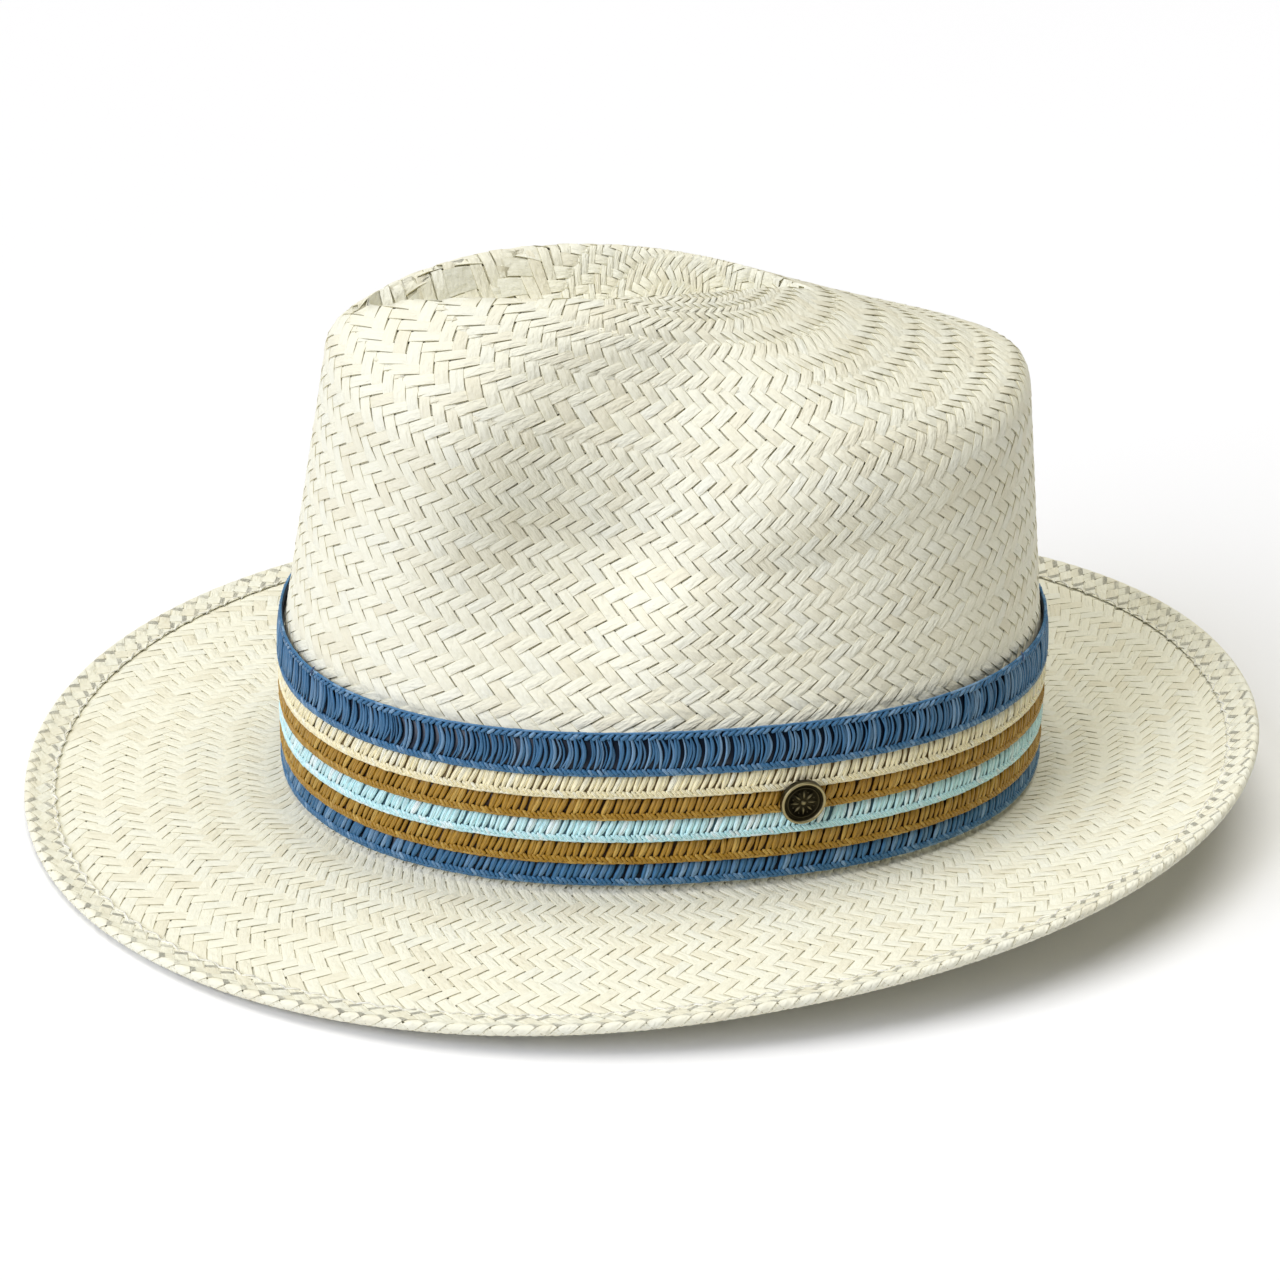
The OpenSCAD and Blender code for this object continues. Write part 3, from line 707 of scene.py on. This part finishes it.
def strokes(s, z, out, half, thick, tint, leaf=5):
    """Threads of a braid. s, z and out are (threads, stations): along the band, up it, and out from it."""
    t = angle_of(s)
    nx, ny = outward(t)
    face = np.stack([nx, ny, 0 * nx], axis=-1)
    start = STREAKS_LONG * rng.random((len(s), 1))
    return threads(at(t, out, z + root_z(t)), face, half, thick, tint, start, leaf)


def stitches(centre, face, half, thick):
    """Threads along (threads, stations, 3) points, each with its own tint."""
    tint = 0.1 + 0.9 * rng.random(len(centre))
    return threads(centre, face, half, thick, tint, 0)


def row_of_strokes(pitch, route, half, thick, out, loose=1.0, leaf=5):
    """A row of equal strokes right round the hat. route is the (s, z) of a stroke, from its own start."""
    count = round(BAND_LEN / pitch)
    route = np.asarray(route, float)
    start = (np.arange(count) + rng.normal(0, 0.07 * loose, count)) * BAND_LEN / count
    scale = 1 + rng.normal(0, 0.06 * loose, (count, 1))
    sway = rng.normal(0, 0.10 * loose, (count, 1)) * np.linspace(-1, 1, len(route))
    s = start[:, None] + route[:, 0] * scale + sway
    z = np.broadcast_to(route[:, 1], s.shape) + rng.normal(0, 0.07 * loose, (count, 1))
    lift = rng.normal(0, 0.05 * loose, (count, 1))
    widths = half * (1 + rng.normal(0, 0.09 * loose, count))
    return strokes(s, z, out(z) + lift, widths, thick, 0.1 + 0.9 * rng.random(count), leaf)


def band_ring(section, turns=360):
    """A closed ring of a section [(out, z), ...], given from its inner top corner outwards and down."""
    t = np.arange(turns) * FULL_TURN / turns
    n = len(section)
    points = np.stack([at(t, out, z + root_z(t)) for out, z in section], axis=1)
    return points, np.zeros((turns, n, 3)), ring_faces(turns, n)


def tape_out(z, bottom, height):
    """How far a tape's face stands out from the straw at a height."""
    v = np.clip((z - bottom) / height, 0, 1.2)
    return TAPE_PROUD + TAPE_T - (TAPE_PROUD - TAPE_BACK) * v


def arc(s0, z0, s1, z1, bow, n=7):
    """A stroke from one point to another, bowed to the right by a distance."""
    f = np.linspace(0, 1, n)
    return np.stack([s0 + (s1 - s0) * f + bow * np.sin(np.pi * f), z0 + (z1 - z0) * f], axis=-1)


CHAIN_H = 2.1                       # height of the herringbone edge of a tape
BACK_INSET = 0.8                    # how far a tape's ground lies behind its face
LOOP_PITCH, WIDE_PITCH = 1.65, 1.75   # distances between the loops of the narrow tapes and of the wide one
# The layers of the wide tape's long strokes, as (step along the tape, bow, lift).
WIDE_LAYERS = ((0, 1.0, 0.05), (0.35, 1.6, -0.12))


def tape_edge(bottom, height):
    """The lower edge of a tape: a cord-like row of strokes that lean left, over a rounded lip."""
    def out(z):
        v = np.clip((z - bottom) / CHAIN_H, 0, 1)
        return tape_out(z, bottom, height) - 0.32 - 0.35 * (1 - v) ** 3

    chain = row_of_strokes(1.22, arc(-0.85, bottom + CHAIN_H, 0.85, bottom + 0.5, 0.12), half=0.5, thick=0.42,
                           out=out, loose=0.8)
    lip = row_of_strokes(2.4, arc(-1.9, bottom + 0.62, 1.9, bottom + 0.38, 0), half=0.42, thick=0.40,
                         out=lambda z: tape_out(z, bottom, height) - 0.55, loose=0.5)
    return [chain, lip]


def tape_back(bottom, height, up):
    """The ground of a tape, seen between its strokes; its tint of 0 gives it the braid's dark colour, painted
    shade in the gaps.
    """
    foot, top = bottom + 0.45, bottom + height + up
    face = [(tape_out(z, bottom, height) - BACK_INSET, z) for z in (top, bottom + 1.2, foot)]
    return band_ring([*face, (TAPE_PROUD, foot), (TAPE_BACK, top)])


def narrow_tape(name, top, material, slot):
    """A narrow tape: slanting loops that tuck in under the tape above, over a herringbone edge."""
    bottom = top - TAPE_H

    def out(z):
        return tape_out(z, bottom, TAPE_H) - 0.30 - 0.35 * np.clip(z - top + 1.3, 0, 1)

    loops = row_of_strokes(LOOP_PITCH, arc(0, bottom + 1.75, 2.1, top + 0.85, 0.2, 9), half=0.74, thick=0.48,
                           out=out, loose=1.5, leaf=2.4)
    parts = [tape_back(bottom, TAPE_H, TUCK - 0.2), loops, *tape_edge(bottom, TAPE_H)]
    return finish_piece(mesh_object(name + "_braid", *joined(parts)), material, slot, name)


def wide_tape(name, top, material, slot):
    """The wide tape: long bowed strokes between a herringbone edge below and a corded edge above."""
    bottom = top - WIDE_TAPE_H

    def out(z, lift=0.0):
        return tape_out(z, bottom, WIDE_TAPE_H) - 0.30 + lift

    parts = [tape_back(bottom, WIDE_TAPE_H, -0.5)]
    for step, bow, lift in WIDE_LAYERS:
        route = arc(step, top - 1.3, 0.5 * step - 0.5, bottom + 1.6, bow, 11)
        parts.append(row_of_strokes(WIDE_PITCH, route, half=0.40, thick=0.42, out=lambda z: out(z, lift),
                                    loose=2.4, leaf=2.2))
    parts.append(row_of_strokes(WIDE_PITCH, arc(-0.9, top - 2.0, 1.2, top - 0.55, 0.0), half=0.52, thick=0.42,
                                out=out))
    parts.append(row_of_strokes(2.6, arc(-2.0, top - 0.45, 2.0, top - 0.4, 0), half=0.36, thick=0.36,
                                out=lambda z: out(z, -0.15), loose=0.5))
    parts += tape_edge(bottom, WIDE_TAPE_H)
    return finish_piece(mesh_object(name + "_braid", *joined(parts)), material, slot, name)


WIDE_TOP = 5 * TAPE_H + WIDE_TAPE_H
wide_tape("band_blue_top", WIDE_TOP, blue, "braid_blue")
narrow_tape("band_cream", 5 * TAPE_H, cream, "braid_cream")
narrow_tape("band_ochre_upper", 4 * TAPE_H, ochre, "braid_ochre")
narrow_tape("band_aqua", 3 * TAPE_H, aqua, "braid_aqua")
narrow_tape("band_ochre_lower", 2 * TAPE_H, ochre, "braid_ochre")
narrow_tape("band_blue_bottom", TAPE_H, blue, "braid_blue")
TAB_SPAN, TACKS_AT = (258, 266), (20, 150, 210, 330)   # degrees round the hat


def band_tab():
    """The tab over the tapes' joint: threads along the hat, row above row, and a cord at both sides."""
    first, last = np.interp(np.radians(TAB_SPAN), fine_turns, ARC)
    rows = np.arange(1.2, WIDE_TOP - 0.5, 1.15)
    count = len(rows)
    f = np.linspace(0, 1, 9)
    out = TAPE_PROUD + TAPE_T + 0.55
    s = first + 0.5 + (last - first - 1.0) * f + 0 * rows[:, None]
    z = rows[:, None] + 0.55 * np.sin(np.pi * f) + rng.normal(0, 0.05, (count, 1))
    parts = [strokes(s, z, out + 0 * z, 0.55, 0.36, 0.2 + 0.8 * rng.random(count))]
    heights = np.linspace(0.6, WIDE_TOP - 0.2, 40)
    sides = np.stack([first + 0.35 + 0 * heights, last - 0.35 + 0 * heights])
    tall = np.broadcast_to(heights, sides.shape)
    parts.append(strokes(sides, tall, out + 0.05 + 0 * tall, 0.4, 0.38, np.array([0.4, 0.6])))
    return mesh_object("band_join_tab_braid", *joined(parts))


def band_stitches():
    """Tacking stitches across the hatband's top edge."""
    places = np.interp(np.radians(TACKS_AT), fine_turns, ARC)
    f = np.linspace(-1, 1, 7)
    s = places[:, None] + 0.12 * f
    z = WIDE_TOP - 0.3 + 1.3 * f + 0 * s
    out = TAPE_BACK + TAPE_T + 0.35 - 0.9 * np.maximum(f, 0) ** 2 + 0 * s
    tint = rng.random(len(TACKS_AT))
    return mesh_object("band_tack_stitches", *strokes(s, z, out, 0.24, 0.24, tint))


finish_piece(band_tab(), blue, "braid_blue", "band_join_tab")
finish_piece(band_stitches(), navy, "sewing_thread", "band_tacks")

# ---------------------------------------------------------------- hem stitching
def hem_stitches(count=320):
    """Zigzag stitches that hold the hem's flap down, their ends dipping into the straw."""
    share = (np.arange(count) + rng.normal(0, 0.10, count)) / count
    f = np.linspace(-1, 1, 7)
    lean = np.where(np.arange(count) % 2, 1, -1)[:, None]
    turns = share[:, None] + f * 0.62 / count * (1 + rng.normal(0, 0.1, (count, 1)))
    t = turns * FULL_TURN
    d = brim_width(t) - HEM_W + 0.35 + lean * f * 0.75 + rng.normal(0, 0.15, (count, 1))
    lift = FLAP_LIFT + 0.36 - 0.45 * np.abs(f) ** 3
    centre = at(t, d, brim_z(t, d) + lift)
    return mesh_object("hem_stitches", *stitches(centre, UPWARD, 0.26, 0.24))


finish_piece(hem_stitches(), sewing, "sewing_thread", "hem_thread")

# ---------------------------------------------------------------- badge
BADGE_Z = BADGE_UP + root_z(math.radians(BADGE_AT))
badge_t = math.radians(BADGE_AT)
badge_n = np.array([*outward(badge_t), 0])
badge_side = np.cross([0, 0, 1], badge_n)
badge_centre = at(badge_t, BADGE_OFF, BADGE_Z)


def on_badge(x, y, h):
    """A point of the badge: to the right and up as it is seen from outside, and out from its back."""
    x, y, h = np.broadcast_arrays(x, y, h)
    up = np.array([0, 0, 1.0])
    return badge_centre + x[..., None] * badge_side + y[..., None] * up + h[..., None] * badge_n


def lathe(profile, sides, centre=(0, 0)):
    """A closed round body from (radius, height) points, the first and last at its middle."""
    a = np.arange(sides) * FULL_TURN / sides
    rings = [on_badge(centre[0] + r * np.cos(a), centre[1] + r * np.sin(a), h) for r, h in profile]
    n = len(rings)
    points = np.concatenate(rings)
    i, j = np.arange(n - 1)[:, None], np.arange(sides)[None, :]
    k = (j + 1) % sides
    faces = np.stack([i * sides + j, i * sides + k, (i + 1) * sides + k, (i + 1) * sides + j], axis=-1)
    return points, np.zeros_like(points), faces.reshape(-1, 4)


def dome(radius, base, height):
    """Profile of a small dome for lathe."""
    rise = [(radius * math.cos(a), base + height * math.sin(a)) for a in np.radians(np.linspace(0, 88, 7))]
    return [(0.01, base), *rise, (0.01, base + height)]


def petal(angle, inner, outer, half, base, height):
    """One raised leaf of the rosette."""
    u = np.linspace(0, 1, 9)[:, None]
    v = np.linspace(-1, 1, 9)[None, :]
    r = inner + (outer - inner) * u
    w = half * np.sin(np.pi * u ** 0.8) * v
    h = base + height * np.sqrt(np.maximum(np.sin(np.pi * u ** 0.8), 0)) * (1 - v ** 2) - 0.05
    x = r * math.cos(angle) - w * math.sin(angle)
    y = r * math.sin(angle) + w * math.cos(angle)
    points = on_badge(x, y, h).reshape(-1, 3)
    i, j = np.arange(8)[:, None], np.arange(8)[None, :]
    faces = np.stack([i * 9 + j, (i + 1) * 9 + j, (i + 1) * 9 + j + 1, i * 9 + j + 1], axis=-1).reshape(-1, 4)
    return points, np.zeros_like(points), faces


LEAVES, BEADS_R = 8, 2.9            # leaves of the rosette, and how far out the beads between them lie


def badge():
    """The badge's face: a rolled rim, a thin ring, and a rosette of leaves and beads in a dark recess."""
    floor, r, roll = BADGE_T - 0.75, BADGE_R, 0.38
    rim = [(0.01, 0), (r - 0.3, 0), (r, 0.3), (r, BADGE_T - 0.4)]
    rim += [(r - roll + roll * math.cos(a), BADGE_T - 0.4 + roll * math.sin(a))
            for a in np.radians(np.linspace(15, 165, 9))]
    rim += [(r - 0.8, floor + 0.1), (r - 0.95, floor), (4.2, floor), (4.12, floor + 0.25)]
    rim += [(3.98, floor + 0.25), (3.9, floor), (0.01, floor + 0.1)]
    parts = [lathe(rim, 96), lathe(dome(0.75, floor, 0.55), 24)]
    for k in range(LEAVES):
        a = k * FULL_TURN / LEAVES
        parts.append(petal(a, 1.0, 3.5, 0.42, floor + 0.03, 0.5))
        a += FULL_TURN / LEAVES / 2
        bead_at = (BEADS_R * math.cos(a), BEADS_R * math.sin(a))
        parts.append(lathe(dome(0.24, floor - 0.02, 0.36), 12, bead_at))
    points, strand, faces = joined(parts)
    strand[:, 0] = np.clip(((points - badge_centre) @ badge_n - floor) / (BADGE_T - floor), 0, 1)
    return mesh_object("badge_face", points, strand, faces)


finish_piece(badge(), brass, "badge_metal", "badge_disc", body="badge")

# ---------------------------------------------------------------- inside of the hat
def sweat_out(z):
    return -STRAW_T - SWEATBAND_FOOT - (SWEATBAND_LEAN - SWEATBAND_FOOT) * z / SWEATBAND_H


def sweatband():
    """The ribbed sweatband: a soft double fold at its free top, and its sewn foot."""
    turns, top = 480, SWEATBAND_H + SWEAT_TOP
    t = np.arange(turns) * FULL_TURN / turns
    heights = [0, 2.2, 3.2, 6, 14, 22, 28, top - 1.2, top - 0.3, top]
    puff = [0, 0, 0.25, 0.1, 0, 0, 0.1, 0.1, 0.05, 0]
    section = []
    for h, p in zip(heights, puff):
        section.append((sweat_out(h) - SWEATBAND_T * 0.9 - p, h))
    for h in reversed(heights[:-1]):
        section.append((sweat_out(h) - 0.08, h))
    foot = root_z(t) + SWEAT_FOOT_Z
    wave = 0.25 * np.sin(5 * t) + 0.18 * np.sin(11 * t + 1)
    points = np.stack([at(t, out + wave * h / top * 0.8, foot + (top - foot) * h / top)
                       for out, h in section], axis=1)
    n = len(section)
    length = np.interp(t, fine_turns, ARC)[:, None] + np.zeros((turns, n))
    across = np.broadcast_to([h / 3 for out, h in section], (turns, n))
    strand = np.stack([0 * length, length, across], axis=-1)
    return mesh_object("sweatband_ribbon", points, strand, ring_faces(turns, n))


def sweat_stitches(count=190):
    """Running stitches a little above the sweatband's foot."""
    f = np.linspace(-1, 1, 7)
    t = (np.arange(count)[:, None] + 0.37 * f) * FULL_TURN / count
    z = root_z(t) + SWEAT_FOOT_Z + 2.4
    out = sweat_out(z - root_z(t)) - SWEATBAND_T - 0.12 + 0.35 * np.abs(f) ** 3
    return mesh_object("sweatband_stitches", *stitches(at(t, out, z), UPWARD, 0.2, 0.22))


def bow_routes():
    """The bow's two loops, two tails and knot as lines of (x, z, towards the middle of the hat)."""
    f = np.linspace(0, 1, 25)
    a = f * FULL_TURN
    for side in (-1, 1):
        yield side * 4.3 * (1 - np.cos(a)), BOW_Z + 1.6 * np.sin(a) * np.abs(np.sin(a / 2)), 0.25 * np.sin(a)
        yield side * 6.5 * f, BOW_Z - 4.8 * f ** 1.3, -0.1 * f
    yield 1.15 * np.cos(a), BOW_Z + 0 * f, 0.55 * np.sin(a)


def bow():
    """A small ribbon bow at the back, flat against the sweatband."""
    back = SEMI_Y + sweat_out(BOW_Z - root_z(math.pi)) - SWEATBAND_T - 0.55
    parts = []
    for x, z, lift in bow_routes():
        centre = np.stack([x, back - 0.35 - lift, z], axis=-1)[None]
        parts.append(stitches(centre, TO_FRONT, 1.15, 0.14))
    return mesh_object("sweatband_ribbon_bow", *joined(parts))


def label():
    """A blank woven tag standing behind the sweatband, with its loop fold at the top."""
    u = np.linspace(0, 1, 9)[:, None]
    v = np.linspace(0, 1, 21)[None, :]
    t = np.radians(TAG_FROM + (TAG_TO - TAG_FROM) * u) + 0 * v
    z = TAG_LOW + (TAG_HIGH - TAG_LOW) * v + 0 * u
    bend = -0.35 * np.sin(np.pi * v) - 0.1 * np.sin(np.pi * u * 2) * v
    front = at(t, -STRAW_T - 1.7 + bend, z)
    back = at(t, -STRAW_T - 1.45 + bend, z)
    points = np.concatenate([front.reshape(-1, 3), back.reshape(-1, 3)])
    m, n = u.size, v.size
    i, j = np.arange(m - 1)[:, None], np.arange(n - 1)[None, :]
    quads = np.stack([i * n + j, i * n + j + 1, (i + 1) * n + j + 1, (i + 1) * n + j], axis=-1).reshape(-1, 4)
    edge = [k * n for k in range(m)] + [(m - 1) * n + k for k in range(1, n)]
    edge += [k * n + n - 1 for k in range(m - 2, -1, -1)] + list(range(n - 2, 0, -1))
    edge = np.array(edge)
    beyond = np.roll(edge, -1)
    rims = np.stack([edge, beyond, beyond + m * n, edge + m * n], axis=-1)
    faces = np.concatenate([quads, quads[:, ::-1] + m * n, rims])
    strand = np.stack(np.broadcast_arrays(0.0, (TAG_HIGH - TAG_LOW) * v, 6 * u), axis=-1).reshape(-1, 3)
    return mesh_object("size_tag", points, np.concatenate([strand, strand]), faces)


sweat = finish_piece(sweatband(), ribbon, "sweatband_cloth", "sweatband")
finish_piece(sweat_stitches(), sewing, "sewing_thread", "sweatband_thread")
finish_piece(bow(), ribbon, "sweatband_cloth", "sweatband_bow")
tag = finish_piece(label(), satin, "label_cloth", "size_label")


def recolour(material, *names):
    """Gives CAD nodes that stay in view a finish of their own."""
    for name in names:
        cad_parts[name].data.materials.clear()
        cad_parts[name].data.materials.append(material)


recolour(grain_material("plain_brass", (0.16, 0.13, 0.065), 1200.0, 0.35, 1.0), "badge_post", "badge_clutch")
recolour(grain_material("spring_steel", (0.55, 0.55, 0.55), 2000.0, 0.3, 1.0), "brim_wire")
recolour(grain_material("reed_plastic", (0.85, 0.85, 0.82), 900.0, 0.4), "sweatband_reed")

# ---------------------------------------------------------------- stage, light and camera
VIEW_AZ, VIEW_EL, VIEW_ROLL = math.radians(81.62), math.radians(25.59), math.radians(1.01)
VIEW_DISTANCE, VIEW_LENS = 0.8259, 91.1
VIEW_TARGET = np.array([0.0373, -0.0062, 0.0557])


def camera():
    """The camera, by the direction and the distance it looks from."""
    level = math.cos(VIEW_EL)
    back = np.array([math.sin(VIEW_AZ) * level, -math.cos(VIEW_AZ) * level, math.sin(VIEW_EL)])
    right = np.array([math.cos(VIEW_AZ), math.sin(VIEW_AZ), 0])
    up = np.cross(back, right)
    c, s = math.cos(VIEW_ROLL), math.sin(VIEW_ROLL)
    right, up = c * right + s * up, c * up - s * right
    data = bpy.data.cameras.new("camera")
    data.lens, data.sensor_width = VIEW_LENS, 36.0
    obj = bpy.data.objects.new("camera", data)
    bpy.context.scene.collection.objects.link(obj)
    place = VIEW_TARGET + VIEW_DISTANCE * back
    obj.matrix_world = Matrix([[right[i], up[i], back[i], place[i]] for i in range(3)] + [[0, 0, 0, 1]])
    bpy.context.scene.camera = obj


def sun(name, towards, colour, strength, spread):
    """A soft light from far away. towards points from the hat to the light."""
    data = bpy.data.lights.new(name, "SUN")
    data.color, data.energy, data.angle = colour, strength, math.radians(spread)
    obj = bpy.data.objects.new(name, data)
    bpy.context.scene.collection.objects.link(obj)
    obj.rotation_mode = "QUATERNION"
    obj.rotation_quaternion = Vector(towards).to_track_quat("Z", "Y")


def stage():
    """The pale floor, a weak warm sky, and two broad suns."""
    world = bpy.data.worlds.new("studio")
    bpy.context.scene.world = world
    world.use_nodes = True
    sky = world.node_tree.nodes["Background"]
    sky.inputs["Color"].default_value = (1, 0.96, 0.82, 1)
    sky.inputs["Strength"].default_value = 0.09
    bpy.ops.mesh.primitive_circle_add(vertices=64, radius=6.0, fill_type="NGON", location=(0, 0, 0))
    floor = bpy.context.object
    floor.name = "floor"
    material, tree, shader = nodes_of("floor", Roughness=0.8)
    place = add(tree, "ShaderNodeTexCoord").outputs["Object"]
    cloud = add(tree, "ShaderNodeTexNoise", {"Vector": place, "Scale": 3.0})
    tone = mixed(tree, cloud.outputs["Fac"], (0.955, 0.955, 0.955), (0.97, 0.97, 0.97))
    tree.links.new(tone, shader.inputs["Base Color"])
    floor.data.materials.append(material)
    sun("overhead", (-0.12, 0.05, 1.0), (1.0, 0.985, 0.94), 2.05, 50)
    sun("key", (0.32, -0.76, 0.56), (1.0, 1.03, 1.17), 1.85, 45)


camera()
stage()
bpy.context.scene.view_settings.view_transform = "Standard"
